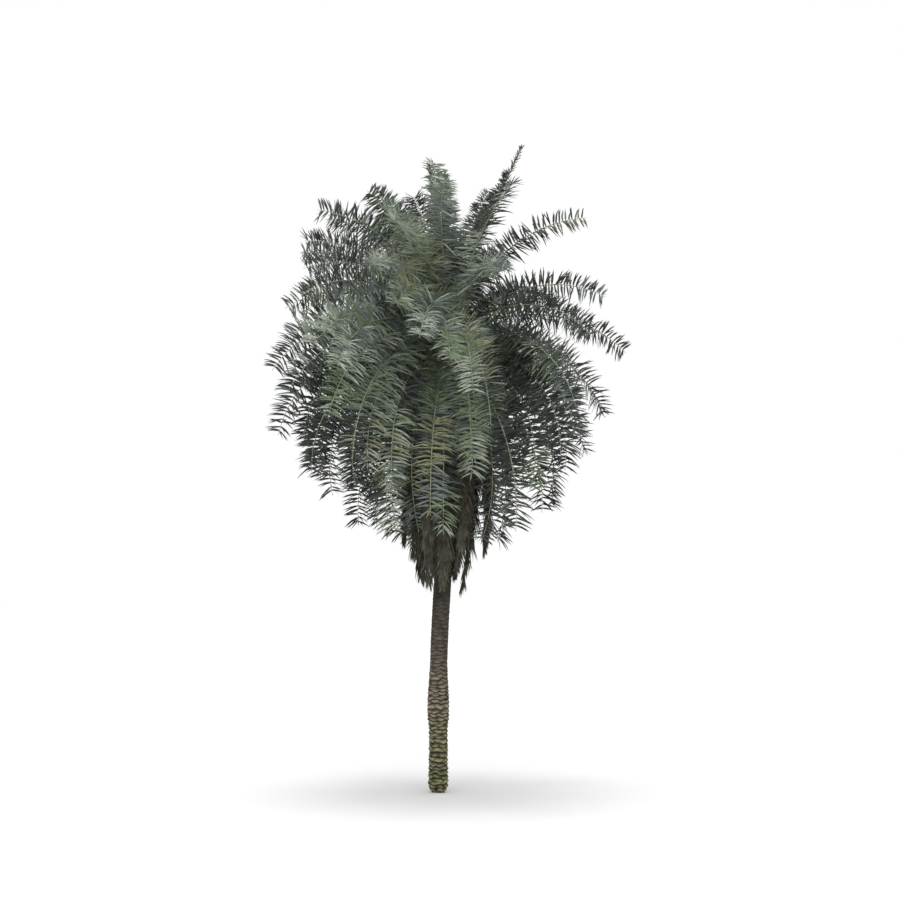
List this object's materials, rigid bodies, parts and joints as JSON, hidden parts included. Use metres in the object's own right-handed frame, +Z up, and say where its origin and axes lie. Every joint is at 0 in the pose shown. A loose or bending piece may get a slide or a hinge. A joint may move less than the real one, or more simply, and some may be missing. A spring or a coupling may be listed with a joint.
{
  "type": "sylvester palm",
  "caption": "Slender leaning palm trunk with leaf scars, a full round crown of arching feather fronds and a skirt of dead fronds hanging under it.",
  "frame": {"origin": "centre of the flat cut under the trunk, at ground level", "axes": "+Z up the tree, +X towards the side that the crown leans to, -Y towards the front"},
  "size_m": [6.0786, 5.8881, 10.707],
  "materials": {
    "bark": "rough, leaf scars",
    "leaf": "waxy grey-green leaf",
    "young_leaf": "young olive leaf",
    "dry_leaf": "dead dry leaf"
  },
  "bodies": {
    "root": {"arching_frond_1": "leaf", "arching_frond_2": "leaf", "arching_frond_3": "leaf", "arching_frond_4": "leaf", "arching_frond_5": "leaf", "arching_frond_6": "leaf", "arching_frond_7": "leaf", "arching_frond_8": "leaf", "hanging_frond_1": "leaf", "hanging_frond_2": "leaf", "hanging_frond_3": "leaf", "hanging_frond_4": "leaf", "hanging_frond_5": "leaf", "hanging_frond_6": "leaf", "hanging_frond_7": "leaf", "hanging_frond_8": "leaf", "hanging_frond_9": "leaf", "lowest_frond_1": "leaf", "lowest_frond_2": "leaf", "lowest_frond_3": "leaf", "lowest_frond_4": "leaf", "lowest_frond_5": "leaf", "lowest_frond_6": "leaf", "lowest_frond_7": "leaf", "middle_frond_1": "leaf", "middle_frond_2": "leaf", "middle_frond_3": "leaf", "middle_frond_4": "leaf", "middle_frond_5": "leaf", "middle_frond_6": "leaf", "middle_frond_7": "leaf", "middle_frond_8": "leaf", "skirt_inner_1": "dry_leaf", "skirt_inner_2": "dry_leaf", "skirt_inner_3": "dry_leaf", "skirt_outer_1": "dry_leaf", "skirt_outer_2": "dry_leaf", "skirt_outer_3": "dry_leaf", "spear_leaves": "young_leaf", "spreading_frond_1": "leaf", "spreading_frond_2": "leaf", "spreading_frond_3": "leaf", "spreading_frond_4": "leaf", "spreading_frond_5": "leaf", "spreading_frond_6": "leaf", "spreading_frond_7": "leaf", "spreading_frond_8": "leaf", "top_frond_1": "leaf", "top_frond_2": "leaf", "top_frond_3": "leaf", "top_frond_4": "leaf", "top_frond_5": "leaf", "trunk": "bark", "upper_frond_1": "leaf", "upper_frond_2": "leaf", "upper_frond_3": "leaf", "upper_frond_4": "leaf", "upper_frond_5": "leaf", "upper_frond_6": "leaf", "upper_frond_7": "leaf"}
  },
  "joints": []
}
